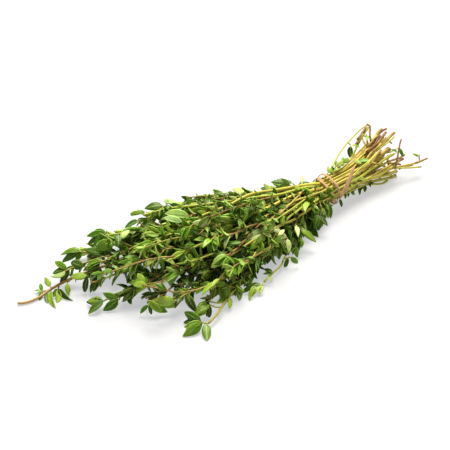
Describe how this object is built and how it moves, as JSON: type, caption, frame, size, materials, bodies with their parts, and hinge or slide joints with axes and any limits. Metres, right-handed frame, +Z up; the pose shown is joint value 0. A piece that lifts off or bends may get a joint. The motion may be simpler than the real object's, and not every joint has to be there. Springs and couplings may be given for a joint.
{
  "type": "thyme bundle",
  "caption": "Bunch of fresh thyme lying on its side: long leafy sprigs gathered at a waist and tied with a wound strip of raffia, leafy ends fanned out and cut ends splayed",
  "frame": {"origin": "middle of the bunch's footprint, on the surface it lies on", "axes": "+X along the bunch toward the cut ends, -X toward the leafy tips, +Y across it, +Z up"},
  "size_m": [0.223, 0.0879, 0.03],
  "materials": {
    "thyme_leaf": "satin",
    "thyme_stem": "matte",
    "raffia": "matte"
  },
  "bodies": {
    "root": {"sprig_01": "thyme_leaf", "sprig_02": "thyme_leaf", "sprig_03": "thyme_leaf", "sprig_04": "thyme_leaf", "sprig_05": "thyme_leaf", "sprig_06": "thyme_leaf", "sprig_07": "thyme_leaf", "sprig_08": "thyme_leaf", "sprig_09": "thyme_leaf", "sprig_10": "thyme_leaf", "sprig_11": "thyme_leaf", "sprig_12": "thyme_leaf", "sprig_13": "thyme_leaf", "sprig_14": "thyme_leaf", "sprig_15": "thyme_leaf", "sprig_16": "thyme_leaf", "sprig_17": "thyme_leaf", "sprig_18": "thyme_leaf", "sprig_19": "thyme_leaf", "sprig_20": "thyme_leaf", "sprig_21": "thyme_leaf", "sprig_22": "thyme_leaf", "sprig_23": "thyme_leaf", "sprig_24": "thyme_leaf", "sprig_25": "thyme_leaf", "sprig_26": "thyme_leaf", "sprig_27": "thyme_leaf", "sprig_28": "thyme_leaf", "sprig_29": "thyme_leaf", "raffia_tie": "raffia"}
  },
  "joints": []
}
